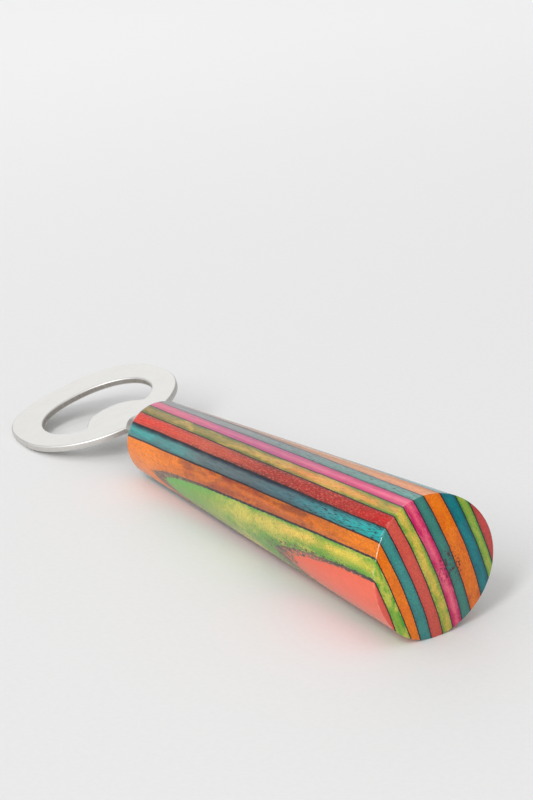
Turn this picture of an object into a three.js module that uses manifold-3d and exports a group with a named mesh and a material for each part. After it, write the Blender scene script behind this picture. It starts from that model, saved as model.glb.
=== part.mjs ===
// Souvenir bottle opener: a tapered, lacquered handle turned from twelve dyed veneer plies,
// with a flat steel cap-lifter ring on a round steel shank that is glued into the handle.
// Millimetres, +Z up. The opener lies at rest on z = 0, its handle on one side line and the
// ring's left edge on the ground. The ring points along +X. The origin is on the ground below
// the middle of the whole object.

import * as THREE from 'three';
import { mergeVertices } from 'three/addons/utils/BufferGeometryUtils.js';
import Module from 'manifold-3d';

const wasm = await Module();
wasm.setup();

// ---------------------------------------------------------------- driving dimensions (mm)
// Handle. Its own frame has X along its axis from the butt to the tip.
const HANDLE_LENGTH = 106;
const BUTT_RADIUS = 13.4;
const TIP_RADIUS = 8.2;
const TIP_EDGE_RADIUS = 3;
const HANDLE_SEGMENTS = 60;

// A hand-sanded handle is never quite round: it lies on a very slight flat, which keeps it from
// rolling away.
const RESTING_FLAT_DEPTH = 0.14;

// The butt is a shallow barrel-shaped dome, rounder along the plies than across them, and
// sanded slightly out of square.
const DOME_RADIUS_ALONG_PLIES = 40.8;
const DOME_RADIUS_ACROSS_PLIES = 129;
const DOME_TILT_ACROSS = THREE.MathUtils.degToRad(3.87);
const DOME_TILT_ALONG = THREE.MathUtils.degToRad(1.48);

// Plies, from the left side of the handle to the right: name, colour, and the place of the
// glue line on the ply's right, measured from the handle's axis at the butt.
const PLIES = [
  { name: 'ply_01_coral', colour: 0xe96a5c, rightEdge: 12.1 },
  { name: 'ply_02_green', colour: 0x7fb73a, rightEdge: 10.17 },
  { name: 'ply_03_orange', colour: 0xe8842a, rightEdge: 8.01 },
  { name: 'ply_04_teal', colour: 0x2c8f95, rightEdge: 5.74 },
  { name: 'ply_05_red', colour: 0xc9403a, rightEdge: 3.22 },
  { name: 'ply_06_olive', colour: 0xa9b440, rightEdge: 0.78 },
  { name: 'ply_07_magenta', colour: 0xd8348a, rightEdge: -1.5 },
  { name: 'ply_08_petrol', colour: 0x2b7f78, rightEdge: -3.76 },
  { name: 'ply_09_amber', colour: 0xf08a2c, rightEdge: -7.04 },
  { name: 'ply_10_blue', colour: 0x2e8aa0, rightEdge: -9.45 },
  { name: 'ply_11_lime', colour: 0x9cb83c, rightEdge: -11.31 },
  { name: 'ply_12_crimson', colour: 0xcf3f3f, rightEdge: -16 },
];
const GLUE_GAP = 0.3;
const PLY_TILT = Math.atan(-0.0131);

// Steel ring: a flat stamped plate, round on the handle's side and squarer at the far end.
const PLATE_THICKNESS = 1.55;
const RING_CENTRE = 134.85;
const RING_HALF_LENGTH = 19.1;
const RING_HALF_WIDTH = 19.1;
const RING_FAR_SQUARENESS = 2.6;
const RING_NEAR_SQUARENESS = 2;
const HOLE_CENTRE = 134.4;
const HOLE_HALF_LENGTH = 11.1;
const HOLE_HALF_WIDTH = 13.3;
const HOLE_SQUARENESS = 2.15;
const OUTLINE_POINTS = 96;

// Cap-lifting tooth, from the hole's edge on the handle's side towards its middle.
const TOOTH_TIP = 130.6;
const TOOTH_TIP_FULLNESS = 7;
const TOOTH_ROOT_HALF_WIDTH = 10.3;
const TOOTH_ROOT_FULLNESS = 7;
const TOOTH_BURIED_LENGTH = 3;

// Shank: a round rod, glued in a blind bore on the handle's axis and welded to the ring's edge.
const SHANK_RADIUS = 2.6;
const SHANK_DEPTH_IN_HANDLE = 36;
const SHANK_CHAMFER = 0.5;
const SHANK_SEGMENTS = 28;
const FIT_GAP = 0.3;

// Rest pose: the cone lies on its side line, and the handle is rolled until the ring touches.
const REST_PITCH = Math.atan((BUTT_RADIUS - TIP_RADIUS) / HANDLE_LENGTH);
const RING_ROLL = THREE.MathUtils.degToRad(17.45);
const PLY_ROLL = THREE.MathUtils.degToRad(22.4);

const STEEL = { color: 0xc9c9c6, roughness: 0.32, metalness: 1 };
const LACQUERED_WOOD = { roughness: 0.25, metalness: 0 };

// ---------------------------------------------------------------- solids and meshes
function withoutFlatTriangles(index) {
  const kept = [];
  for (let i = 0; i < index.length; i += 3) {
    const [a, b, c] = [index[i], index[i + 1], index[i + 2]];
    if (a !== b && b !== c && c !== a) kept.push(a, b, c);
  }
  return new Uint32Array(kept);
}

function toSolid(geometry) {
  const bare = geometry.clone();
  bare.deleteAttribute('normal');
  bare.deleteAttribute('uv');
  const merged = mergeVertices(bare, 1e-4);
  return new wasm.Manifold(new wasm.Mesh({
    numProp: 3,
    vertProperties: new Float32Array(merged.attributes.position.array),
    triVerts: withoutFlatTriangles(merged.index.array),
  }));
}

function toMesh(name, solid, look) {
  const { vertProperties, triVerts } = solid.getMesh();
  const geometry = new THREE.BufferGeometry();
  geometry.setAttribute('position', new THREE.BufferAttribute(vertProperties, 3));
  geometry.setIndex(new THREE.BufferAttribute(triVerts, 1));
  geometry.computeVertexNormals();
  const mesh = new THREE.Mesh(geometry, new THREE.MeshStandardMaterial(look));
  mesh.name = name;
  return mesh;
}

function block(low, high) {
  const size = high.map((value, axis) => value - low[axis]);
  const geometry = new THREE.BoxGeometry(...size);
  geometry.translate(...high.map((value, axis) => (value + low[axis]) / 2));
  return geometry;
}

// A lathe turns about Y; this lays its axis along X.
function turnedAlongX(profile, segments) {
  const points = profile.map(([x, radius]) => new THREE.Vector2(radius, x));
  return new THREE.LatheGeometry(points, segments).rotateZ(-Math.PI / 2);
}

// ---------------------------------------------------------------- handle
function handleCone() {
  const overhang = 3;
  const taper = (TIP_RADIUS - BUTT_RADIUS) / HANDLE_LENGTH;
  const roundStart = HANDLE_LENGTH - TIP_EDGE_RADIUS;
  const roundSteps = 6;
  const profile = [[-overhang, 0], [-overhang, BUTT_RADIUS - taper * overhang]];
  for (let i = 0; i <= roundSteps; i += 1) {
    const angle = (i / roundSteps) * (Math.PI / 2);
    const radius = BUTT_RADIUS + taper * roundStart;
    profile.push([
      roundStart + TIP_EDGE_RADIUS * Math.sin(angle),
      radius - TIP_EDGE_RADIUS * (1 - Math.cos(angle)),
    ]);
  }
  profile.push([HANDLE_LENGTH, 0]);
  return toSolid(turnedAlongX(profile, HANDLE_SEGMENTS));
}

// What the resting flat takes off: everything under a plane just inside the lowest side line.
function underRestingFlat() {
  const reach = 20;
  const below = block([-reach, -reach, -reach], [HANDLE_LENGTH + reach, reach, 0])
    .rotateY(-REST_PITCH)
    .translate(0, 0, RESTING_FLAT_DEPTH - BUTT_RADIUS)
    .rotateX(PLY_ROLL);
  return toSolid(below);
}

function waste() {
  const reach = 20;
  const depth = 12;
  const barrelHalf = 22;
  const barrelSteps = 8;
  const profile = [[-barrelHalf, 0]];
  for (let i = 0; i <= barrelSteps; i += 1) {
    const across = barrelHalf * (2 * i / barrelSteps - 1);
    profile.push([across, DOME_RADIUS_ALONG_PLIES - across ** 2 / (2 * DOME_RADIUS_ACROSS_PLIES)]);
  }
  profile.push([barrelHalf, 0]);
  const barrel = turnedAlongX(profile, 120)
    .rotateZ(Math.PI / 2)
    .translate(DOME_RADIUS_ALONG_PLIES, 0, 0)
    .rotateY(DOME_TILT_ALONG)
    .rotateZ(DOME_TILT_ACROSS);
  return toSolid(block([-depth, -reach, -reach], [depth, reach, reach])).subtract(toSolid(barrel));
}

function shankBore() {
  const start = HANDLE_LENGTH - SHANK_DEPTH_IN_HANDLE - FIT_GAP;
  const end = HANDLE_LENGTH + 5;
  const radius = SHANK_RADIUS + FIT_GAP;
  const profile = [[start, 0], [start, radius], [end, radius], [end, 0]];
  return toSolid(turnedAlongX(profile, SHANK_SEGMENTS));
}

function plySlab(leftEdge, rightEdge) {
  const reach = 20;
  const slab = block([-5, rightEdge + GLUE_GAP / 2, -reach],
    [HANDLE_LENGTH + 5, leftEdge - GLUE_GAP / 2, reach]);
  return toSolid(slab.rotateZ(PLY_TILT));
}

function handlePlies() {
  const group = new THREE.Group();
  group.rotation.x = -PLY_ROLL;
  const handle = handleCone()
    .subtract(waste())
    .subtract(underRestingFlat())
    .subtract(shankBore());
  let leftEdge = 16;
  for (const { name, colour, rightEdge } of PLIES) {
    const ply = handle.intersect(plySlab(leftEdge, rightEdge));
    group.add(toMesh(name, ply, { ...LACQUERED_WOOD, color: colour }));
    leftEdge = rightEdge;
  }
  return group;
}

// ---------------------------------------------------------------- steel ring and shank
function roundedOutline(centre, halfLength, halfWidth, farSquareness, nearSquareness) {
  const points = [];
  for (let i = 0; i < OUTLINE_POINTS; i += 1) {
    const angle = (i / OUTLINE_POINTS) * 2 * Math.PI;
    const [c, s] = [Math.cos(angle), Math.sin(angle)];
    const power = c > 0 ? farSquareness : nearSquareness;
    const scale = (Math.abs(c) ** power + Math.abs(s) ** power) ** (-1 / power);
    points.push(new THREE.Vector2(centre + halfLength * scale * c, halfWidth * scale * s));
  }
  return new THREE.Shape(points);
}

function toothOutline() {
  const root = HOLE_CENTRE - HOLE_HALF_LENGTH;
  const start = root - TOOTH_BURIED_LENGTH;
  const shape = new THREE.Shape();
  shape.moveTo(start, -TOOTH_ROOT_HALF_WIDTH);
  shape.lineTo(root, -TOOTH_ROOT_HALF_WIDTH);
  shape.bezierCurveTo(root, -TOOTH_ROOT_FULLNESS, TOOTH_TIP, -TOOTH_TIP_FULLNESS, TOOTH_TIP, 0);
  shape.bezierCurveTo(TOOTH_TIP, TOOTH_TIP_FULLNESS, root, TOOTH_ROOT_FULLNESS,
    root, TOOTH_ROOT_HALF_WIDTH);
  shape.lineTo(start, TOOTH_ROOT_HALF_WIDTH);
  shape.closePath();
  return shape;
}

function plate(shape, thickness) {
  const geometry = new THREE.ExtrudeGeometry(shape, {
    depth: thickness, bevelEnabled: false, curveSegments: 14,
  });
  return toSolid(geometry.translate(0, 0, -thickness / 2));
}

function openerRing() {
  const outline = roundedOutline(RING_CENTRE, RING_HALF_LENGTH, RING_HALF_WIDTH,
    RING_FAR_SQUARENESS, RING_NEAR_SQUARENESS);
  const hole = roundedOutline(HOLE_CENTRE, HOLE_HALF_LENGTH, HOLE_HALF_WIDTH,
    HOLE_SQUARENESS, HOLE_SQUARENESS);
  const cut = plate(hole, 2 * PLATE_THICKNESS).subtract(plate(toothOutline(), 3 * PLATE_THICKNESS));
  return toMesh('opener_ring', plate(outline, PLATE_THICKNESS).subtract(cut), STEEL);
}

function steelShank() {
  const start = HANDLE_LENGTH - SHANK_DEPTH_IN_HANDLE;
  const end = RING_CENTRE - RING_HALF_LENGTH - FIT_GAP;
  const profile = [
    [start, 0],
    [start, SHANK_RADIUS - SHANK_CHAMFER],
    [start + SHANK_CHAMFER, SHANK_RADIUS],
    [end, SHANK_RADIUS],
    [end, 0],
  ];
  return toMesh('steel_shank', toSolid(turnedAlongX(profile, SHANK_SEGMENTS)), STEEL);
}

function steelParts() {
  const group = new THREE.Group();
  group.rotation.x = -RING_ROLL;
  group.add(openerRing(), steelShank());
  return group;
}

// ---------------------------------------------------------------- the opener at rest
function openerAtRest() {
  const lying = new THREE.Group();
  lying.rotation.y = REST_PITCH;
  lying.add(handlePlies(), steelParts());

  const opener = new THREE.Group();
  opener.name = 'bottle_opener';
  opener.add(lying);
  opener.updateMatrixWorld(true);
  const bounds = new THREE.Box3().setFromObject(opener, true);
  const middle = bounds.getCenter(new THREE.Vector3());
  opener.position.set(-middle.x, -middle.y, -bounds.min.z);
  return opener;
}

export default openerAtRest();
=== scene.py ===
"""Souvenir bottle opener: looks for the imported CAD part.

The handle's plies are cut again, finely, from one smooth surface, with the glue lines between
them as pieces of their own. The ring and the shank get rounded edges. Lengths are in millimetres
in the shape functions and are scaled to metres when a mesh is made.
"""
import math

import bmesh
import bpy
import numpy as np
from mathutils import Matrix, Vector


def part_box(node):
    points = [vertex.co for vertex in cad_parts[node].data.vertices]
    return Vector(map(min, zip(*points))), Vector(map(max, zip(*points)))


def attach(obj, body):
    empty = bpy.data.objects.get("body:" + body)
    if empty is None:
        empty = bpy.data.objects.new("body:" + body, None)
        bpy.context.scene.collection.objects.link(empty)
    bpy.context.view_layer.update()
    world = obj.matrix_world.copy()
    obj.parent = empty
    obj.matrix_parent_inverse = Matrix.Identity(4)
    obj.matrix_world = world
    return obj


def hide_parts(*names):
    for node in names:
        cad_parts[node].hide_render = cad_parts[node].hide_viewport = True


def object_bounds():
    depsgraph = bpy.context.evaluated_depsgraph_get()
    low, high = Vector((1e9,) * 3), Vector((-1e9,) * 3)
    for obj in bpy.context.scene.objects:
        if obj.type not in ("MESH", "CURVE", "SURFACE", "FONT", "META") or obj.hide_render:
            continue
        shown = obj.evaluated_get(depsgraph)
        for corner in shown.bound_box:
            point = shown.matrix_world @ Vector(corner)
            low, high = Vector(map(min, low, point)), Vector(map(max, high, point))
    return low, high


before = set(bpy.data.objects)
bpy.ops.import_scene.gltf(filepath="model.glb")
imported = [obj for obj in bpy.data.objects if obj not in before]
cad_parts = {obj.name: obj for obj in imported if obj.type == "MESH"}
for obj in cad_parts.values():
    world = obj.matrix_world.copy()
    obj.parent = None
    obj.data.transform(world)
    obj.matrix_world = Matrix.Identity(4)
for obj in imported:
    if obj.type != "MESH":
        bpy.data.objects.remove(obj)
cad_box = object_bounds()

MM = 0.001

# ---------------------------------------------------------------- dimensions, as in the CAD (mm)
HANDLE_LENGTH = 106.0
BUTT_RADIUS = 13.4
TIP_RADIUS = 8.2
TIP_EDGE_RADIUS = 3.0
# The butt is a shallow dome, more curved along the plies than across them, and a little askew.
DOME_RADIUS_ALONG = 40.8
DOME_RADIUS_ACROSS = 129.0
DOME_TILT_ALONG = math.tan(math.radians(1.48))
DOME_TILT_ACROSS = -math.tan(math.radians(3.87))

PLATE_THICKNESS = 1.55
RING_CENTRE = 134.85
RING_HALF = 19.1
RING_FAR_SQUARENESS = 2.6
RING_NEAR_SQUARENESS = 2.0
HOLE_CENTRE = 134.4
HOLE_HALF_LENGTH = 11.1
HOLE_HALF_WIDTH = 13.3
HOLE_SQUARENESS = 2.15
TOOTH_TIP = 130.6
TOOTH_TIP_FULLNESS = 7.0
TOOTH_ROOT_HALF_WIDTH = 10.3
TOOTH_ROOT_FULLNESS = 7.0

SHANK_RADIUS = 2.6
SHANK_START = 70.0
SHANK_END = RING_CENTRE - RING_HALF
BORE_RADIUS = 2.9
BORE_START = 69.7

# Where each glue line crosses the butt, from the handle's axis, left to right (left is plus), and
# how far it shifts with each millimetre from the butt. The CAD has the first line at 12.1, because
# it can't bend it as glue_surface does.
GLUE_LINES = [12.26, 10.17, 8.01, 5.74, 3.22, 0.78, -1.5, -3.76, -7.04, -9.45, -11.31]
PLY_TILT = -0.0131

REST_PITCH = math.atan((BUTT_RADIUS - TIP_RADIUS) / HANDLE_LENGTH)
RING_ROLL = math.radians(17.45)
PLY_ROLL = math.radians(22.4)

# ---------------------------------------------------------------- finer detail than in the CAD (mm)
# The handle's rim is broken by a small chamfer, itself rounded at both corners.
RIM_CHAMFER_IN = 0.16
RIM_CHAMFER_BACK = 0.13
RIM_BEND = 0.045
FIRST_GLUE_THICKNESS = 0.23
GLUE_THICKNESS = 0.24
# Each glue line stays this far from the plies on both sides.
GLUE_CLEARANCE = 0.012
PLATE_EDGE_ROUND = 0.36
SHANK_END_ROUND = 0.5

# ---------------------------------------------------------------- how fine the meshes are
HANDLE_COLUMNS = 320
CROWN_ROWS = 44
SIDE_ROWS = 330
TIP_ROWS = 13
BORE_ROWS = 60
RING_COLUMNS = 480
SHANK_COLUMNS = 96
ROUNDING_ROWS = 7
SHARP_ANGLE = math.radians(40)
SMALLEST_ISLAND = 100


# ---------------------------------------------------------------- placing in the row frame
def lying(roll, place=Vector((0, 0, 0))):
    """The rest pose: handle axis pitched down towards the ring and rolled about itself."""
    turn = Matrix.Rotation(REST_PITCH, 4, "Y") @ Matrix.Rotation(-roll, 4, "X")
    return Matrix.Translation(place) @ turn


def superellipse(angle, half_length, half_width, far_power, near_power):
    """A rounded outline; the higher the power, the squarer its far or near end."""
    c, s = np.cos(angle), np.sin(angle)
    power = np.where(c > 0, far_power, near_power)
    scale = (np.abs(c) ** power + np.abs(s) ** power) ** (-1 / power)
    return half_length * scale * c, half_width * scale * s


def ring_outline(count):
    angle = np.linspace(0, 2 * np.pi, count, endpoint=False)
    x, y = superellipse(angle, RING_HALF, RING_HALF, RING_FAR_SQUARENESS, RING_NEAR_SQUARENESS)
    return np.stack([RING_CENTRE + x, y], 1)


def butt_centre():
    """Where the handle's own origin lies, from the CAD ring's lowest corner."""
    outline = ring_outline(720)
    turn = np.array(lying(RING_ROLL).to_3x3())
    half = PLATE_THICKNESS / 2
    corners = [np.c_[outline, np.full(len(outline), z)] @ turn.T for z in (-half, half)]
    low = np.vstack(corners).min(0) * MM
    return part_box("opener_ring")[0] - Vector(low)


ORIGIN = butt_centre()
PLY_POSE = lying(PLY_ROLL, ORIGIN)
STEEL_POSE = lying(RING_ROLL, ORIGIN)


# ---------------------------------------------------------------- the handle's smooth surface
def cone_radius(x):
    return BUTT_RADIUS + (TIP_RADIUS - BUTT_RADIUS) * x / HANDLE_LENGTH


def butt_x(across, along):
    """The domed butt: how far it falls back from the crown, across and along the plies."""
    return (DOME_TILT_ACROSS * across + DOME_TILT_ALONG * along
            + across ** 2 / (2 * DOME_RADIUS_ACROSS) + along ** 2 / (2 * DOME_RADIUS_ALONG))


def bend(before, corner, after):
    """Points that round the corner of a profile, within RIM_BEND of it on both sides."""
    before, corner, after = (np.array(p, float) for p in (before, corner, after))
    start = corner + (before - corner) * RIM_BEND / np.linalg.norm(before - corner)
    end = corner + (after - corner) * RIM_BEND / np.linalg.norm(after - corner)
    t = np.linspace(0, 1, 4)[:, None]
    return [tuple(p) for p in (1 - t) ** 2 * start + 2 * t * (1 - t) * corner + t * t * end]


def profile_at(angle):
    """One line from the butt's crown over the rim, side and tip to the bore's bottom: (x, radius)."""
    across, along = math.sin(angle), math.cos(angle)
    corner = BUTT_RADIUS
    for _ in range(4):
        corner = cone_radius(butt_x(corner * across, corner * along))
    inner = corner - RIM_CHAMFER_IN
    outer_x = butt_x(corner * across, corner * along) + RIM_CHAMFER_BACK
    past_bend = RIM_BEND + 0.03
    points = []
    for k in np.linspace(0.02, 1, CROWN_ROWS):
        radius = k * (inner - past_bend)
        points.append((butt_x(radius * across, radius * along), radius))
    chamfer_start = (butt_x(inner * across, inner * along), inner)
    chamfer_end = (outer_x, cone_radius(outer_x))
    points += bend(points[-1], chamfer_start, chamfer_end)
    points += bend(chamfer_start, chamfer_end, (HANDLE_LENGTH, TIP_RADIUS))
    round_start = HANDLE_LENGTH - TIP_EDGE_RADIUS
    for x in np.linspace(outer_x + past_bend, round_start, SIDE_ROWS):
        points.append((x, cone_radius(x)))
    for turn in np.linspace(0, math.pi / 2, TIP_ROWS)[1:]:
        points.append((round_start + TIP_EDGE_RADIUS * math.sin(turn),
                       cone_radius(round_start) - TIP_EDGE_RADIUS * (1 - math.cos(turn))))
    for radius in np.linspace(points[-1][1], BORE_RADIUS, 7)[1:]:
        points.append((HANDLE_LENGTH, radius))
    for x in np.linspace(HANDLE_LENGTH, BORE_START, BORE_ROWS)[1:]:
        points.append((x, BORE_RADIUS))
    points.append((BORE_START, BORE_RADIUS * 0.4))
    return points


def handle_surface():
    """Vertices (x, across, along) and faces of the whole closed handle with its bore."""
    angles = np.linspace(0, 2 * np.pi, HANDLE_COLUMNS, endpoint=False)
    grid = np.array([profile_at(a) for a in angles])
    rows = grid.shape[1]
    crown, bore_end = HANDLE_COLUMNS * rows, HANDLE_COLUMNS * rows + 1
    vertices = np.empty((HANDLE_COLUMNS * rows + 2, 3))
    radius = grid[:, :, 1]
    vertices[:crown, 0] = grid[:, :, 0].ravel()
    vertices[:crown, 1] = (radius * np.sin(angles)[:, None]).ravel()
    vertices[:crown, 2] = (radius * np.cos(angles)[:, None]).ravel()
    vertices[crown] = (0, 0, 0)
    vertices[bore_end] = (BORE_START, 0, 0)
    faces = []
    for i in range(HANDLE_COLUMNS):
        here, beside = i * rows, (i + 1) % HANDLE_COLUMNS * rows
        last = rows - 1
        faces.append((crown, beside, here, here))
        for k in range(last):
            faces.append((here + k, beside + k, beside + k + 1, here + k + 1))
        faces.append((here + last, beside + last, bore_end, bore_end))
    return vertices, np.array(faces)


# ---------------------------------------------------------------- glue surfaces between the plies
def glue_surface(index, x, along):
    """Distance across the plies of glue line index at (x, along): a tilted plane with slow waves
    and, finer, the teeth that the fibres make along it. The first two lines have longer teeth,
    slanted the other way, and bend to the right, most of all low down."""
    wave = 0.045 * np.sin(along / 3.1 + 2.1 * index) + 0.020 * np.sin(along / 1.15 + 1.3 * index)
    wave = wave + 0.035 * np.sin(x / 7.3 + 1.7 * index) + 0.020 * np.sin(x / 2.3 + 0.9 * index)
    height = 0.022
    across_fibres = along + 0.9 * x
    if index == 0:
        height = (0.055 + 0.045 * np.clip((x - 8) / 20, 0, 1)) * np.clip((along + 6) / 5, 0.3, 1)
        across_fibres = along - 0.5 * x
        grown_in = x / (np.abs(x) + 6)
        below, above = np.minimum(along, 0), np.maximum(along, 0)
        wave = 0.3 * wave - 0.0055 * x - grown_in * (0.036 * below ** 2 + 0.010 * above ** 2)
    if index == 1:
        height = 0.040
        across_fibres = along - 0.4 * x
        wave = 0.5 * wave - 0.04 + 0.004 * np.minimum(along, 0) * np.abs(along)
    teeth = np.sin(7.4 * across_fibres + index) + 0.6 * np.sin(12.1 * across_fibres + 2.0 * index)
    height_at_butt = 0.028
    height = height_at_butt + (height - height_at_butt) * np.clip((x - 1.5) / 4, 0, 1)
    return GLUE_LINES[index] + PLY_TILT * x + wave + height * teeth


def glue_half(index):
    return (FIRST_GLUE_THICKNESS if index == 0 else GLUE_THICKNESS) / 2


def cut(bm, index, offset, keep_left):
    """Cuts bm along glue line index, moved by offset, keeps one side and closes the cut."""
    for v in bm.verts:
        v.co.y -= float(glue_surface(index, v.co.x, v.co.z))
    result = bmesh.ops.bisect_plane(
        bm, geom=bm.verts[:] + bm.edges[:] + bm.faces[:], dist=1e-5,
        plane_co=(0, offset, 0), plane_no=(0, 1, 0),
        clear_inner=keep_left, clear_outer=not keep_left)
    edges = [e for e in result["geom_cut"] if isinstance(e, bmesh.types.BMEdge)]
    bmesh.ops.triangle_fill(bm, use_beauty=True, use_dissolve=False, edges=edges,
                            normal=(0, -1 if keep_left else 1, 0))
    for v in bm.verts:
        v.co.y += float(glue_surface(index, v.co.x, v.co.z))


def face_outwards(bm):
    """Turns every face of a closed mesh outwards."""
    bmesh.ops.recalc_face_normals(bm, faces=bm.faces)
    if bm.calc_volume(signed=True) < 0:
        bmesh.ops.reverse_faces(bm, faces=bm.faces)


def drop_islands(bm):
    """Deletes the slivers that the cuts leave beside the piece itself."""
    waiting = set(bm.verts)
    slivers = []
    while waiting:
        front = [waiting.pop()]
        island = list(front)
        while front:
            for edge in front.pop().link_edges:
                for v in edge.verts:
                    if v in waiting:
                        waiting.remove(v)
                        front.append(v)
                        island.append(v)
        if len(island) < SMALLEST_ISLAND:
            slivers += island
    bmesh.ops.delete(bm, geom=slivers, context="VERTS")


def slice_of_handle(surface, left, right):
    """The part of the handle between two cuts, each (glue line, offset) or None for no cut."""
    vertices, faces = surface
    x, across, along = vertices.T
    wanted = np.ones(len(vertices), bool)
    # faces a little past each cut are kept, so that the cut always finds them
    margin = 1.2
    if left:
        wanted &= across < glue_surface(left[0], x, along) + left[1] + margin
    if right:
        wanted &= across > glue_surface(right[0], x, along) + right[1] - margin
    kept = faces[wanted[faces].any(1)]
    used = np.unique(kept)
    number = np.full(len(vertices), -1)
    number[used] = np.arange(len(used))
    bm = bmesh.new()
    made = [bm.verts.new(vertices[i]) for i in used]
    for face in number[kept]:
        corners = list(dict.fromkeys(face.tolist()))
        bm.faces.new([made[i] for i in corners])
    bm.normal_update()
    if right:
        cut(bm, right[0], right[1], keep_left=True)
    if left:
        cut(bm, left[0], left[1], keep_left=False)
    drop_islands(bm)
    face_outwards(bm)
    return bm


# ---------------------------------------------------------------- meshes
def new_object(name, bm, pose):
    """A mesh in the row frame from bm in millimetres, keeping bm's own coordinates as 'grain'.
    Also gives those coordinates back, for the attributes that depend on them."""
    mesh = bpy.data.meshes.new(name)
    bm.to_mesh(mesh)
    bm.free()
    mesh.shade_smooth()
    mesh.set_sharp_from_angle(angle=SHARP_ANGLE)
    points = np.empty(len(mesh.vertices) * 3, np.float32)
    mesh.vertices.foreach_get("co", points)
    mesh.attributes.new("grain", "FLOAT_VECTOR", "POINT").data.foreach_set("vector", points)
    mesh.transform(pose @ Matrix.Scale(MM, 4))
    placed = np.empty(len(mesh.vertices) * 3, np.float32)
    mesh.vertices.foreach_get("co", placed)
    placed = np.clip(placed.reshape(-1, 3), np.float32(cad_box[0]), np.float32(cad_box[1]))
    mesh.vertices.foreach_set("co", placed.ravel())
    mesh.update()
    obj = bpy.data.objects.new(name, mesh)
    bpy.context.scene.collection.objects.link(obj)
    return obj, points.reshape(-1, 3).astype(float)


def write_number(obj, name, values):
    number = obj.data.attributes.new(name, "FLOAT", "POINT")
    number.data.foreach_set("value", values.astype(np.float32))


def write_place(obj, points, left, right):
    """Where each point lies across its ply, 0 to 1 from right to left, and how far from the butt.
    An outermost ply has no glue line on one side: there it ends just past the handle."""
    x, across, along = points.T
    past_handle = np.full(len(x), 13.6)
    low = -past_handle if right is None else glue_surface(right, x, along)
    high = past_handle if left is None else glue_surface(left, x, along)
    write_number(obj, "across", np.clip((across - low) / (high - low), 0, 1))
    write_number(obj, "from_butt", x - butt_x(across, along))


def dress(obj, material, node=None):
    """Gives obj its material and its slot, and node is the CAD piece that it stands in for."""
    obj.data.materials.clear()
    obj.data.materials.append(material)
    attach(obj, "root")
    if node:
        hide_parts(node)


# ---------------------------------------------------------------- material building
def linear(rgb):
    """sRGB 0-255 to linear RGBA."""
    def one(value):
        value /= 255
        return value / 12.92 if value <= 0.04045 else ((value + 0.055) / 1.055) ** 2.4
    return (*[one(v) for v in rgb], 1)


class Shader:
    """A short way to write a material's nodes."""

    def __init__(self, name):
        self.material = bpy.data.materials.new(name)
        self.material.use_nodes = True
        self.tree = self.material.node_tree
        self.surface = self.tree.nodes["Principled BSDF"]

    def node(self, kind, **settings):
        made = self.tree.nodes.new("ShaderNode" + kind)
        for key, value in settings.items():
            setattr(made, key, value)
        return made

    def put(self, socket, value):
        if isinstance(value, bpy.types.NodeSocket):
            self.tree.links.new(value, socket)
        elif value is not None:
            socket.default_value = value

    def attribute(self, name, output="Vector"):
        return self.node("Attribute", attribute_name=name).outputs[output]

    def math(self, operation, a, b=None, c=None):
        made = self.node("Math", operation=operation)
        for socket, value in zip(made.inputs, (a, b, c)):
            self.put(socket, value)
        return made.outputs[0]

    def scaled(self, vector, scale, turn=(0, 0, 0), move=(0, 0, 0)):
        made = self.node("Mapping")
        self.put(made.inputs["Vector"], vector)
        made.inputs["Scale"].default_value = scale
        made.inputs["Rotation"].default_value = turn
        made.inputs["Location"].default_value = move
        return made.outputs[0]

    def noise(self, vector, scale=1.0, detail=2.0, roughness=0.5, distortion=0.0):
        made = self.node("TexNoise")
        self.put(made.inputs["Vector"], vector)
        made.inputs["Scale"].default_value = scale
        made.inputs["Detail"].default_value = detail
        made.inputs["Roughness"].default_value = roughness
        made.inputs["Distortion"].default_value = distortion
        return made.outputs["Fac"]

    def step(self, value, low, high, out_low=0.0, out_high=1.0):
        made = self.node("MapRange", interpolation_type="SMOOTHSTEP")
        for key, item in zip(("Value", "From Min", "From Max", "To Min", "To Max"),
                             (value, low, high, out_low, out_high)):
            self.put(made.inputs[key], item)
        return made.outputs["Result"]

    def mix(self, factor, a, b, blend="MIX"):
        made = self.node("Mix", data_type="RGBA", blend_type=blend)
        self.put(made.inputs["Factor"], factor)
        self.put(made.inputs[6], a)
        self.put(made.inputs[7], b)
        return made.outputs[2]

    def ramp(self, factor, stops):
        """Colours along the handle: stops are (mm from the butt, sRGB)."""
        made = self.node("ValToRGB")
        self.put(made.inputs["Fac"], factor)
        elements = made.color_ramp.elements
        while len(elements) > len(stops):
            elements.remove(elements[-1])
        while len(elements) < len(stops):
            elements.new(1.0)
        for element, (at, rgb) in zip(elements, stops):
            element.position = at / HANDLE_LENGTH
            element.color = linear(rgb)
        return made.outputs["Color"]

    def split(self, vector):
        made = self.node("SeparateXYZ")
        self.put(made.inputs[0], vector)
        return made.outputs

    def bump(self, height, distance, strength):
        made = self.node("Bump")
        self.put(made.inputs["Height"], height)
        made.inputs["Distance"].default_value = distance
        made.inputs["Strength"].default_value = strength
        return made.outputs[0]

    def centred(self, value, spread):
        """A 0 to 1 value turned into one from -spread / 2 to spread / 2."""
        return self.math("MULTIPLY_ADD", value, spread, -0.5 * spread)

    def between(self, value, start, stop, full_from, full_to):
        """0 up to start, 1 from full_from to full_to, 0 again after stop."""
        return self.math("MULTIPLY", self.step(value, start, full_from),
                         self.step(value, full_to, stop, 1.0, 0.0))

    def grey(self, value):
        made = self.node("CombineColor")
        for socket in made.inputs:
            self.put(socket, value)
        return made.outputs[0]

    def shaded(self, colour, tone):
        """The colour made lighter or darker by tone."""
        return self.mix(1.0, colour, self.grey(tone), "MULTIPLY")

    def distance(self, vector, place):
        made = self.node("VectorMath", operation="DISTANCE")
        self.put(made.inputs[0], vector)
        made.inputs[1].default_value = place
        return made.outputs["Value"]


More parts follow.
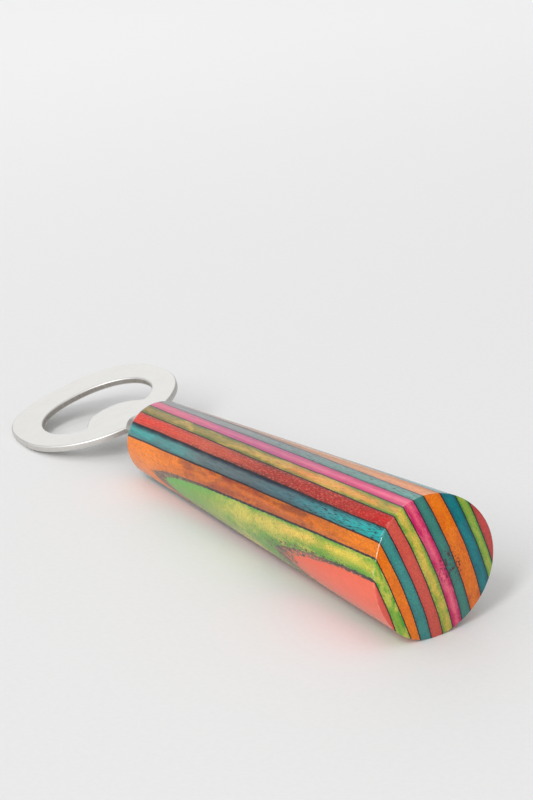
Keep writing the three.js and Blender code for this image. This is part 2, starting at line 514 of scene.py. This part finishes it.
COAT_WEIGHT = 0.7


def lacquer(shader, colour, bump_height, bead=None):
    """Wood under a clear, slightly wavy gloss coat, thickest in the bead along the rim."""
    surface = shader.surface
    shader.put(surface.inputs["Base Color"], colour)
    surface.inputs["Roughness"].default_value = 0.45
    surface.inputs["Specular IOR Level"].default_value = 0.06
    surface.inputs["Coat Weight"].default_value = COAT_WEIGHT
    if bead is not None:
        coat = shader.math("MULTIPLY_ADD", bead, 1 - COAT_WEIGHT, COAT_WEIGHT)
        shader.put(surface.inputs["Coat Weight"], coat)
    surface.inputs["Coat Roughness"].default_value = 0.05
    surface.inputs["Coat IOR"].default_value = 1.45
    shader.put(surface.inputs["Normal"], shader.bump(bump_height, 0.00004, 0.6))
    ripple = shader.noise(shader.scaled(shader.attribute("grain"), (0.25, 0.5, 0.5)), 1.0, 2.0)
    shader.put(surface.inputs["Coat Normal"], shader.bump(ripple, 0.00006, 0.35))


# Where pores crowd on the butt (x, across, along).
KNOT = (0.2, -2.5, -0.9)
# How far behind the butt's surface the end grain gives way to the long grain.
END_GRAIN_FULL, END_GRAIN_GONE = 0.06, 0.26
PORE_COLOUR = linear((34, 26, 34))
PIN_HOLE_COLOUR = linear((70, 26, 36))
FLECK_COLOUR = linear((236, 118, 100))
SOAKED_COLOUR = linear((34, 28, 32))
WORN_COLOUR = linear((236, 222, 206))


class Veneer(Shader):
    """One dyed ply. Each layer below takes the colour so far and gives it back with more on it."""

    def __init__(self, name, seed, slant):
        super().__init__(name)
        self.grain = self.attribute("grain")
        self.across = self.attribute("across", "Fac")
        self.from_butt = self.attribute("from_butt", "Fac")
        self.x = self.split(self.grain)[0]
        self.fibres = self.scaled(self.grain, (1, 1, 1), turn=(0, math.radians(slant), 0),
                                  move=(seed * 17.3, seed * 13.1, seed * 15.7))
        self.lengthwise = self.scaled(self.grain, (1, 1, 1), move=(seed * 11.9, seed * 19.7, seed * 7.1))
        self.on_end = self.step(self.from_butt, END_GRAIN_FULL, END_GRAIN_GONE, 1.0, 0.0)
        # 0 at the glued faces, 1 in the middle of the ply
        from_middle = self.math("ABSOLUTE", self.math("MULTIPLY_ADD", self.across, 2.0, -1.0))
        self.middle = self.math("SUBTRACT", 1.0, from_middle)
        self.cloud = self.noise(self.scaled(self.lengthwise, (0.10, 0.55, 0.30)), 1.0, 4.0, 0.6)

    def dye(self, end, side, core_width, ragged):
        """The dye's own colour, paler or warmer in the ply's core, changing along the handle."""
        far = self.centred(self.cloud, 30 / HANDLE_LENGTH)
        far = self.math("ADD", far, self.math("DIVIDE", self.x, HANDLE_LENGTH))
        edge = self.ramp(far, [(at, tone) for at, tone, _ in side])
        core = self.ramp(far, [(at, tone) for at, _, tone in side])
        edge = self.mix(self.on_end, edge, linear(end[0]))
        core = self.mix(self.on_end, core, linear(end[1]))
        depth = self.math("ADD", self.middle, self.centred(self.cloud, ragged))
        return self.mix(self.step(depth, 0.10, core_width), edge, core)

    def blotch(self, colour, tone, share, start, stop, seed):
        place = self.scaled(self.lengthwise, (0.10, 0.5, 0.26), move=(seed, seed * 2, seed * 3))
        patch = self.step(self.noise(place, 1.0, 4.0, 0.6, 0.5), 0.46, 0.62)
        reach = self.between(self.x, start - 4, stop + 6, start + 4, stop - 6)
        amount = self.math("MULTIPLY", self.math("MULTIPLY", patch, share), reach)
        return self.mix(amount, colour, linear(tone))

    def spot(self, colour, centre, inner, outer, tone, share):
        """One darker stain, ragged at its rim."""
        torn = self.math("ADD", self.distance(self.grain, centre), self.centred(self.cloud, 5.0))
        return self.mix(self.step(torn, inner, outer, share, 0.0), colour, linear(tone))

    def stipple(self, colour):
        """The fine stipple of the cut fibres on the end grain."""
        fine = self.noise(self.scaled(self.grain, (5.0, 5.0, 5.0)), 1.0, 3.0, 0.7)
        change = self.math("SUBTRACT", self.step(fine, 0.3, 0.7, 0.80, 1.18), 1.0)
        return self.shaded(colour, self.math("MULTIPLY_ADD", self.on_end, change, 1.0))

    def streak(self, colour, strength):
        """Streaks of the long grain, finer ones within them."""
        lines = self.noise(self.scaled(self.fibres, (0.20, 3.0, 3.0)), 1.0, 4.0, 0.7)
        tone = self.step(lines, 0.25, 0.75, 1 - 0.20 * strength, 1 + 0.16 * strength)
        return lines, self.shaded(colour, tone)

    def pore(self, colour, share, start, reach):
        """Open pores: short dark dashes along the fibres, fainter past reach, and dots on the end
        grain, fainter away from the knot."""
        dash = self.noise(self.scaled(self.fibres, (0.50, 7.6, 7.6), move=(3, 1, 2)), 1.0, 1.0, 0.4)
        fading = self.step(self.x, reach - 15, reach + 15, 1.0, 0.2)
        near_knot = self.step(self.distance(self.grain, KNOT), 1.5, 5.0, 1.0, 0.12)
        on_butt = self.step(self.from_butt, END_GRAIN_FULL, END_GRAIN_GONE, near_knot, 1.0)
        fading = self.math("MULTIPLY", fading, on_butt)
        mask = self.math("MULTIPLY", self.step(dash, start, start + 0.07), fading)
        return mask, self.mix(self.math("MULTIPLY", mask, share), colour, PORE_COLOUR)

    def pin_holes(self, colour):
        """Pin-holes crowded around the knot on the butt."""
        pin = self.noise(self.scaled(self.grain, (2.0, 2.4, 2.0), move=(5, 7, 3)), 1.0, 2.0, 0.6)
        near_knot = self.step(self.distance(self.grain, KNOT), 1.6, 4.8, 1.0, 0.0)
        crowd = self.math("MULTIPLY", near_knot, self.on_end)
        crowd = self.math("MULTIPLY", self.step(pin, 0.55, 0.61), crowd)
        return self.mix(self.math("MULTIPLY", crowd, 0.95), colour, PIN_HOLE_COLOUR)

    def fleck(self, colour, share):
        """Pale flecks on the long grain, stronger further from the butt."""
        fleck = self.noise(self.scaled(self.fibres, (1.5, 4.6, 4.6), move=(4, 9, 2)), 1.0, 2.0, 0.6)
        rising = self.step(self.from_butt, 0.2, 24.0, 0.5 * share, share)
        amount = self.math("MULTIPLY", self.step(fleck, 0.50, 0.66), rising)
        amount = self.math("MULTIPLY", amount, self.math("SUBTRACT", 1.0, self.on_end))
        return self.mix(amount, colour, FLECK_COLOUR)

    def dyed_band(self, colour, start, stop, tone, share):
        """Dye that ran along one glued face, on the long grain only."""
        spread = self.math("ADD", self.across, self.centred(self.cloud, 0.5))
        amount = self.math("MULTIPLY", self.step(spread, start, stop, 1.0, 0.0),
                           self.step(self.from_butt, 0.4, 40.0, 0.35 * share, share))
        amount = self.math("MULTIPLY", amount, self.step(self.from_butt, 0.2, 0.5))
        return self.mix(amount, colour, linear(tone))

    def soaked_edge(self, colour):
        """The thin dark edge where glue has soaked in."""
        teeth = self.noise(self.scaled(self.fibres, (1.5, 1.5, 1.5)), 1.0, 3.0, 0.7)
        inside = self.math("SUBTRACT", self.middle, self.math("MULTIPLY_ADD", teeth, 0.12, -0.04))
        return self.mix(self.step(inside, -0.02, 0.05, 0.8, 0.0), colour, SOAKED_COLOUR)

    def worn_rim(self, colour):
        """A little pale wear where the rim rubs."""
        rub = self.noise(self.scaled(self.grain, (0.9, 0.9, 0.9)), 1.0, 3.0, 0.6)
        near_rim = self.between(self.from_butt, 0.10, 0.8, 0.25, 0.45)
        worn = self.math("MULTIPLY", near_rim, self.step(rub, 0.45, 0.7, 0.0, 0.22))
        return self.mix(worn, colour, WORN_COLOUR)


def wood(name, seed, end, side, core_width=0.75, ragged=1.0, slant=0.0, streaks=1.0, blotches=(),
         pores=0.3, pore_start=0.62, pore_reach=HANDLE_LENGTH, flecks=0.0, dyed_band=None, spot=None):
    """Dyed veneer under lacquer.

    end: (edge, core) colours of the end grain on the butt. side: (x, edge, core) along the handle.
    blotches: (colour, share, from x, to x, seed). slant: the fibres' angle to the handle's axis.
    """
    ply = Veneer(name, seed, slant)
    colour = ply.dye(end, side, core_width, ragged)
    for blotch in blotches:
        colour = ply.blotch(colour, *blotch)
    if spot:
        colour = ply.spot(colour, *spot)
    colour = ply.stipple(colour)
    lines, colour = ply.streak(colour, streaks)
    mask, colour = ply.pore(colour, pores, pore_start, pore_reach)
    colour = ply.pin_holes(colour)
    if flecks:
        colour = ply.fleck(colour, flecks)
    if dyed_band:
        colour = ply.dyed_band(colour, *dyed_band)
    colour = ply.worn_rim(ply.soaked_edge(colour))
    height = ply.math("SUBTRACT", ply.math("MULTIPLY", lines, 0.5), mask)
    lacquer(ply, colour, height, bead=ply.between(ply.from_butt, 0.0, 0.24, 0.02, 0.18))
    return ply.material


def glue_material():
    """Near-black glue, browner and paler where the surface cuts it at a shallow angle."""
    s = Shader("glue")
    grain = s.attribute("grain")
    patch = s.noise(s.scaled(grain, (0.5, 2.0, 1.2)), 1.0, 4.0, 0.6)
    patch = s.step(patch, 0.3, 0.7)
    dark = s.mix(patch, linear((24, 22, 28)), linear((54, 42, 42)))
    pale = s.mix(patch, linear((66, 50, 44)), linear((128, 104, 84)))
    colour = s.mix(s.attribute("shallow", "Fac"), dark, pale)
    lacquer(s, colour, patch)
    return s.material


def steel(name, base, roughness, scratch_scale, sheared_and_shade=None):
    """Satin steel: a fine tumbled grain, faint cloudy wear, and darker edge walls, partly the punched,
    sheared finish and partly painted shade for the dark reflection of the shaded floor in the hole's
    wall.
    """
    s = Shader(name)
    place = s.attribute("grain")
    brushed = s.noise(s.scaled(place, scratch_scale), 1.0, 3.0, 0.6)
    worn = s.noise(place, 0.22, 4.0, 0.6)
    colour = s.shaded(linear(base), s.step(worn, 0.3, 0.7, 0.95, 1.02))
    rough = s.math("ADD", s.step(worn, 0.25, 0.75, roughness - 0.03, roughness + 0.04),
                   s.centred(brushed, 0.08))
    if sheared_and_shade:
        drawn = s.noise(s.scaled(place, (3.0, 3.0, 0.5)), 1.0, 3.0, 0.6)
        # painted shade, in part: the walls' darker colour stands partly for the punched finish, partly
        # for the dark reflection in the hole's wall
        dark = s.shaded(linear(sheared_and_shade), s.step(drawn, 0.3, 0.7, 0.75, 1.1))
        colour = s.mix(s.attribute("sheared_and_shade", "Fac"), colour, dark)
        rough = s.math("MULTIPLY_ADD", s.attribute("rounded", "Fac"), 0.22, rough)
    s.put(s.surface.inputs["Base Color"], colour)
    s.surface.inputs["Metallic"].default_value = 1.0
    s.put(s.surface.inputs["Roughness"], rough)
    s.put(s.surface.inputs["Normal"], s.bump(brushed, 0.000006, 0.5))
    return s.material


# ---------------------------------------------------------------- the plies
# (CAD piece, slot, look), from the handle's left to its right. Colours are sRGB 0-255.
PLIES = [
    ("ply_01_coral", "coral_veneer", dict(
        end=((190, 66, 56), (202, 82, 68)),
        side=[(0, (224, 90, 60), (230, 96, 66)), (40, (222, 92, 66), (228, 98, 72)),
              (100, (220, 104, 82), (224, 110, 86))],
        slant=27, streaks=0.4, pores=0.06)),
    ("ply_02_green", "green_veneer", dict(
        end=((58, 140, 46), (126, 164, 54)),
        side=[(0, (96, 158, 40), (196, 188, 50)), (18, (96, 152, 48), (212, 188, 64)),
              (34, (92, 146, 56), (224, 188, 84)), (50, (104, 156, 60), (172, 174, 74)),
              (70, (100, 160, 68), (120, 158, 66)), (95, (78, 166, 78), (94, 164, 74))],
        core_width=0.95, ragged=0.6, slant=-72, streaks=0.8, pores=0.6, pore_start=0.59, pore_reach=60,
        blotches=[((60, 140, 32), 0.45, -9, 60, 11), ((226, 200, 84), 0.45, -9, 60, 23)])),
    ("ply_03_orange", "orange_veneer", dict(
        end=((206, 100, 2), (216, 106, 2)),
        side=[(0, (206, 108, 12), (228, 122, 2)), (18, (184, 96, 30), (202, 106, 24)),
              (34, (166, 82, 34), (208, 106, 28)), (50, (142, 58, 34), (188, 90, 26)),
              (72, (160, 74, 34), (204, 98, 18)), (92, (226, 120, 16), (228, 120, 8))],
        core_width=1.2, slant=20, pores=0.6,
        blotches=[((112, 50, 36), 0.6, 12, 80, 3), ((240, 132, 6), 0.35, -9, 110, 19)])),
    ("ply_04_teal", "teal_veneer", dict(
        end=((48, 114, 112), (54, 130, 124)),
        side=[(0, (6, 152, 150), (8, 166, 162)), (18, (48, 114, 118), (56, 138, 142)),
              (34, (64, 88, 96), (70, 106, 114)), (50, (72, 84, 92), (84, 98, 102)),
              (72, (84, 102, 104), (96, 112, 114)), (94, (64, 114, 116), (72, 148, 146))],
        pores=0.95, pore_start=0.57, pore_reach=32, dyed_band=(0.0, 0.42, (16, 20, 42), 1.0),
        blotches=[((34, 96, 104), 0.4, -9, 3, 7)])),
    ("ply_05_red", "red_veneer", dict(
        end=((182, 68, 58), (192, 76, 62)),
        side=[(0, (166, 6, 6), (186, 4, 4)), (18, (140, 32, 28), (156, 34, 28)),
              (34, (128, 40, 36), (150, 38, 32)), (50, (106, 52, 46), (154, 60, 50)),
              (70, (152, 74, 60), (184, 84, 64)), (95, (178, 62, 54), (204, 58, 46))],
        pores=0.2, flecks=0.45)),
    ("ply_06_olive", "olive_veneer", dict(
        end=((100, 142, 54), (190, 170, 64)),
        side=[(0, (104, 136, 42), (206, 150, 52)), (18, (108, 124, 42), (206, 134, 54)),
              (34, (122, 112, 46), (208, 130, 56)), (50, (106, 108, 46), (162, 128, 56)),
              (70, (98, 104, 44), (142, 126, 58)), (95, (104, 104, 46), (142, 122, 58))],
        core_width=0.9, pores=0.5,
        blotches=[((92, 140, 44), 0.55, -9, 12, 31), ((224, 178, 84), 0.4, -9, 110, 37)])),
    ("ply_07_magenta", "magenta_veneer", dict(
        end=((176, 0, 84), (230, 96, 118)),
        side=[(0, (190, 14, 96), (240, 106, 134)), (18, (188, 22, 100), (238, 110, 140)),
              (34, (178, 44, 108), (220, 112, 134)), (50, (168, 52, 112), (206, 98, 128)),
              (70, (172, 60, 116), (206, 94, 126)), (95, (190, 68, 108), (220, 88, 120))],
        core_width=1.55, pores=0.15,
        blotches=[((246, 146, 160), 0.22, -9, 4, 43)])),
    ("ply_08_petrol", "petrol_veneer", dict(
        end=((44, 100, 96), (54, 118, 106)),
        side=[(0, (58, 120, 120), (82, 148, 138)), (18, (66, 116, 116), (86, 138, 128)),
              (34, (80, 112, 116), (88, 128, 122)), (50, (86, 98, 110), (94, 120, 118)),
              (70, (112, 102, 116), (116, 126, 124)), (95, (122, 104, 116), (122, 130, 130))],
        pores=0.9, pore_start=0.59, pore_reach=60)),
    ("ply_09_amber", "amber_veneer", dict(
        end=((206, 98, 2), (216, 110, 2)),
        side=[(0, (228, 124, 60), (236, 142, 70)), (18, (192, 118, 64), (230, 142, 78)),
              (34, (184, 120, 78), (216, 144, 86)), (50, (156, 114, 88), (200, 136, 90)),
              (70, (148, 118, 98), (180, 134, 104)), (95, (160, 136, 122), (182, 148, 128))],
        pores=0.5, blotches=[((190, 76, 10), 0.5, -9, 3, 5)],
        spot=((0, -6.4, -10.4), 1.2, 2.8, (150, 44, 16), 0.55))),
    ("ply_10_blue", "blue_veneer", dict(
        end=((0, 92, 100), (2, 112, 118)),
        side=[(0, (56, 130, 134), (64, 142, 146)), (50, (84, 138, 142), (92, 146, 150)),
              (100, (104, 146, 152), (114, 154, 158))],
        pores=0.3, blotches=[((10, 76, 92), 0.5, -9, 3, 47)])),
    ("ply_11_lime", "lime_veneer", dict(
        end=((72, 140, 52), (148, 162, 62)),
        side=[(0, (80, 154, 44), (156, 174, 60)), (100, (100, 156, 70), (148, 166, 78))],
        pores=0.3, blotches=[((66, 132, 40), 0.35, -9, 110, 41)])),
    ("ply_12_crimson", "crimson_veneer", dict(
        end=((150, 62, 52), (178, 62, 58)),
        side=[(0, (184, 36, 36), (192, 46, 44)), (100, (184, 56, 52), (190, 64, 60))],
        pores=0.2)),
]


def shallow_cut(points):
    """0 to 1: how far a glue line is cut at a shallow angle, so that its paler inside shows. That
    is at the handle's left and right edges, behind the rim and not low down."""
    x, across, along = points.T
    near_edge = np.clip((np.abs(across) / cone_radius(x) - 0.90) / 0.06, 0, 1)
    behind_rim = np.clip((x - butt_x(across, along) - 0.3) / 2, 0, 1)
    high_up = np.clip((along + 4.5) / 2, 0, 1)
    return near_edge * (behind_rim * high_up)


def make_handle():
    surface = handle_surface()
    for i, (node, slot, look) in enumerate(PLIES):
        left = i - 1 if i > 0 else None
        right = i if i < len(GLUE_LINES) else None
        bm = slice_of_handle(surface,
                             None if left is None else (left, -glue_half(left)),
                             None if right is None else (right, glue_half(right)))
        ply, points = new_object("visual_" + node, bm, PLY_POSE)
        write_place(ply, points, left, right)
        dress(ply, wood(slot, seed=i + 1, **look), node)
    glue = glue_material()
    for i in range(len(GLUE_LINES)):
        inside = glue_half(i) - GLUE_CLEARANCE
        bm = slice_of_handle(surface, (i, inside), (i, -inside))
        line, points = new_object(f"glue_line_{i + 1:02d}", bm, PLY_POSE)
        write_number(line, "shallow", shallow_cut(points))
        dress(line, glue)


# ---------------------------------------------------------------- ring and shank
def bezier(p0, p1, p2, p3, count):
    t = np.linspace(0, 1, count)[:, None]
    a, b, c, d = (np.array(p, float) for p in (p0, p1, p2, p3))
    return (1 - t) ** 3 * a + 3 * t * (1 - t) ** 2 * b + 3 * t * t * (1 - t) * c + t ** 3 * d


def evenly(points, count):
    """The closed line through points, again with count points at even steps, from the first."""
    closed = np.vstack([points, points[:1]])
    run = np.r_[0, np.cumsum(np.linalg.norm(np.diff(closed, axis=0), axis=1))]
    at = np.linspace(0, run[-1], count, endpoint=False)
    return np.stack([np.interp(at, run, closed[:, k]) for k in (0, 1)], 1)


def hole_outline(count):
    """The hole with its tooth: on the handle's side the tooth's line stands where it is further in."""
    angle = np.linspace(0, 2 * np.pi, 3000, endpoint=False)
    x, y = superellipse(angle, HOLE_HALF_LENGTH, HOLE_HALF_WIDTH, HOLE_SQUARENESS, HOLE_SQUARENESS)
    x = x + HOLE_CENTRE
    root = HOLE_CENTRE - HOLE_HALF_LENGTH
    tooth = bezier((TOOTH_TIP, 0), (TOOTH_TIP, TOOTH_TIP_FULLNESS), (root, TOOTH_ROOT_FULLNESS),
                   (root, TOOTH_ROOT_HALF_WIDTH), 400)
    tooth_x = np.interp(np.abs(y), tooth[:, 1], tooth[:, 0])
    near = (np.cos(angle) < 0) & (np.abs(y) < TOOTH_ROOT_HALF_WIDTH)
    # the further in of the two lines, rounded where they cross
    blend = 0.5 * (x + tooth_x + np.sqrt((x - tooth_x) ** 2 + 0.5))
    fade = np.clip((TOOTH_ROOT_HALF_WIDTH - np.abs(y)) / 1.5, 0, 1)
    x = np.where(near, x + fade * (blend - x), x)
    return evenly(np.stack([x, y], 1), count)


def moved_inwards(outline, distance, into_material):
    """The outline moved into the plate by distance; into_material is 1 outside, -1 at the hole."""
    ahead = np.roll(outline, -1, 0) - np.roll(outline, 1, 0)
    ahead /= np.linalg.norm(ahead, axis=1)[:, None]
    normal = np.stack([ahead[:, 1], -ahead[:, 0]], 1)
    return outline - into_material * distance * normal


def make_ring():
    """The plate: loops of points down the outer wall and up the hole's wall, both with rounded
    edges, and a flat top and bottom between them."""
    outer = evenly(ring_outline(2000), RING_COLUMNS)
    inner = hole_outline(RING_COLUMNS)
    half, r = PLATE_THICKNESS / 2, PLATE_EDGE_ROUND
    down = [(r + 0.12, half)]
    down += [(r * (1 - math.sin(t)), half - r * (1 - math.cos(t)))
             for t in np.linspace(0, math.pi / 2, ROUNDING_ROWS)]
    down += [(distance, -z) for distance, z in reversed(down)]

    bm = bmesh.new()

    def wall(outline, steps, into_material):
        loops = []
        for distance, z in steps:
            flat = moved_inwards(outline, distance, into_material)
            loops.append([bm.verts.new(p) for p in np.c_[flat, np.full(RING_COLUMNS, z)]])
        for a, b in zip(loops, loops[1:]):
            for i in range(RING_COLUMNS):
                j = (i + 1) % RING_COLUMNS
                bm.faces.new((a[i], a[j], b[j], b[i]))
        return loops

    outer_loops = wall(outer, down, 1)
    outer_points = len(outer_loops) * RING_COLUMNS
    inner_loops = wall(inner, down[::-1], -1)
    for pair in ((outer_loops[0], inner_loops[-1]), (outer_loops[-1], inner_loops[0])):
        edges = [bm.edges.get(ends) for loop in pair for ends in zip(loop, loop[1:] + loop[:1])]
        bmesh.ops.triangle_fill(bm, use_beauty=True, edges=edges)
    face_outwards(bm)
    ring, points = new_object("visual_opener_ring", bm, STEEL_POSE)
    from_top = half - np.abs(points[:, 2])
    sheared_and_shade = np.clip((from_top - r * 0.5) / (r * 0.5), 0, 1)
    # the walls' darkening is partly the punched finish and partly painted shade: the outer edge, tumbled
    # bright again, keeps little of it, the hole's wall, left as it was punched, keeps it all
    sheared_and_shade[:outer_points] *= 0.3
    write_number(ring, "sheared_and_shade", sheared_and_shade)
    write_number(ring, "rounded", np.clip(from_top / (r * 0.3), 0, 1))
    # the darker wall colour below is partly the punched finish, partly painted shade
    look = steel("ring_steel", (224, 223, 220), 0.30, (14, 14, 14), sheared_and_shade=(178, 172, 165))
    dress(ring, look, "opener_ring")


def turned_piece(name, profile, pose):
    """A closed solid of revolution about X from a profile of (x, radius), its ends on the axis."""
    bm = bmesh.new()
    turn = [2 * math.pi * i / SHANK_COLUMNS for i in range(SHANK_COLUMNS)]
    rings = []
    for x, radius in profile:
        if radius == 0:
            rings.append([bm.verts.new((x, 0, 0))])
        else:
            rings.append([bm.verts.new((x, radius * math.sin(t), radius * math.cos(t))) for t in turn])
    for a, b in zip(rings, rings[1:]):
        for i in range(SHANK_COLUMNS):
            j = (i + 1) % SHANK_COLUMNS
            corners = (a[i % len(a)], a[j % len(a)], b[j % len(b)], b[i % len(b)])
            bm.faces.new(list(dict.fromkeys(corners)))
    face_outwards(bm)
    return new_object(name, bm, pose)


def make_shank():
    rounding = SHANK_END_ROUND
    profile = [(SHANK_START, 0), (SHANK_START, SHANK_RADIUS - rounding),
               (SHANK_START + rounding, SHANK_RADIUS)]
    profile += [(x, SHANK_RADIUS) for x in np.linspace(SHANK_START + 1, SHANK_END - rounding, 40)]
    for t in np.linspace(0, math.pi / 2, ROUNDING_ROWS)[1:]:
        profile.append((SHANK_END - rounding + rounding * math.sin(t),
                        SHANK_RADIUS - rounding * (1 - math.cos(t))))
    profile.append((SHANK_END, 0))
    shank, _ = turned_piece("visual_steel_shank", profile, STEEL_POSE)
    look = steel("shank_steel", (190, 188, 184), 0.32, (0.5, 16, 16))
    dress(shank, look, "steel_shank")


# ---------------------------------------------------------------- floor, light and camera
# Lengths are in metres from here on.
FLOOR_HALF_SIZE = 6.0
FLOOR_GAP = 0.00001


def make_floor():
    """Pale paper, with painted light: its colour is made paler from the ring on towards the far end,
    standing in for brighter light there.
    """
    bm = bmesh.new()
    bmesh.ops.create_grid(bm, x_segments=8, y_segments=8, size=FLOOR_HALF_SIZE)
    mesh = bpy.data.meshes.new("floor")
    bm.to_mesh(mesh)
    bm.free()
    floor = bpy.data.objects.new("floor", mesh)
    floor.location = (0, 0, cad_box[0][2] - FLOOR_GAP)
    bpy.context.scene.collection.objects.link(floor)
    s = Shader("pale_paper_painted_light")
    place = s.node("TexCoord").outputs["Object"]
    fine = s.noise(place, 900.0, 3.0, 0.6)
    # painted light: the floor's colour turns paler towards the far end, in place of light that falls
    # brighter there
    far = s.step(s.split(place)[0], 0.05, 0.68)
    near = s.grey(s.step(fine, 0.3, 0.7, 0.755, 0.77))
    away = s.grey(s.step(fine, 0.3, 0.7, 0.865, 0.875))
    s.put(s.surface.inputs["Base Color"], s.mix(far, near, away))
    s.surface.inputs["Roughness"].default_value = 0.6
    s.surface.inputs["Specular IOR Level"].default_value = 0.15
    mesh.materials.append(s.material)


def make_world():
    """A white studio: even, brighter up on the left, and brightest low beyond the ring."""
    world = bpy.data.worlds.new("studio")
    world.use_nodes = True
    tree = world.node_tree
    direction = tree.nodes.new("ShaderNodeTexCoord").outputs["Generated"]

    def glow(towards, start, stop, dark, bright):
        """Brightness by the cosine of the angle to towards: dark at start, bright at stop."""
        facing = tree.nodes.new("ShaderNodeVectorMath")
        facing.operation = "DOT_PRODUCT"
        facing.inputs[1].default_value = Vector(towards).normalized()
        tree.links.new(direction, facing.inputs[0])
        level = tree.nodes.new("ShaderNodeMapRange")
        level.interpolation_type = "SMOOTHSTEP"
        for key, value in zip(("From Min", "From Max", "To Min", "To Max"),
                              (start, stop, dark, bright)):
            level.inputs[key].default_value = value
        tree.links.new(facing.outputs["Value"], level.inputs["Value"])
        return level.outputs["Result"]

    total = tree.nodes.new("ShaderNodeMath")
    up_left = glow((-0.35, 0.72, 0.60), -0.2, 0.95, 0.38, 1.04)
    beyond_ring = glow((0.86, -0.33, 0.42), 0.86, 0.99, 0.0, 0.74)
    tree.links.new(up_left, total.inputs[0])
    tree.links.new(beyond_ring, total.inputs[1])
    tree.links.new(total.outputs[0], tree.nodes["Background"].inputs["Strength"])
    tree.nodes["Background"].inputs["Color"].default_value = (1, 1, 1, 1)
    bpy.context.scene.world = world


WINDOW_AZIMUTH = math.radians(127)
WINDOW_ELEVATION = math.radians(33)
WINDOW_DISTANCE = 8.0
WINDOW_WIDTH = 1.1
WINDOW_HEIGHT = 4.0
WINDOW_WATTS = 345


def make_lights():
    """A tall window of light, low on the left and on the camera's side."""
    data = bpy.data.lights.new("window", "AREA")
    data.shape = "RECTANGLE"
    data.size, data.size_y, data.energy = WINDOW_WIDTH, WINDOW_HEIGHT, WINDOW_WATTS
    away = Vector((math.cos(WINDOW_AZIMUTH) * math.cos(WINDOW_ELEVATION),
                   math.sin(WINDOW_AZIMUTH) * math.cos(WINDOW_ELEVATION),
                   math.sin(WINDOW_ELEVATION)))
    light = bpy.data.objects.new("window", data)
    light.location = away * WINDOW_DISTANCE
    light.rotation_euler = away.to_track_quat("Z", "Y").to_euler()
    bpy.context.scene.collection.objects.link(light)


# The photo's own camera, as fitted to the handle's and the ring's outlines.
CAMERA_FROM_BUTT = Vector((-0.29548, 0.21219, 0.14485))
CAMERA_LOOKS = Vector((0.81912, -0.48982, -0.29862))
CAMERA_LENS = 98.9


def make_camera():
    data = bpy.data.cameras.new("camera")
    data.lens = CAMERA_LENS
    data.clip_start, data.clip_end = 0.01, 50
    camera = bpy.data.objects.new("camera", data)
    camera.location = ORIGIN + CAMERA_FROM_BUTT
    camera.rotation_euler = CAMERA_LOOKS.to_track_quat("-Z", "Y").to_euler()
    bpy.context.scene.collection.objects.link(camera)
    bpy.context.scene.camera = camera


make_camera()
make_world()
make_lights()
make_floor()
make_handle()
make_ring()
make_shank()
bpy.context.scene.view_settings.view_transform = "Standard"
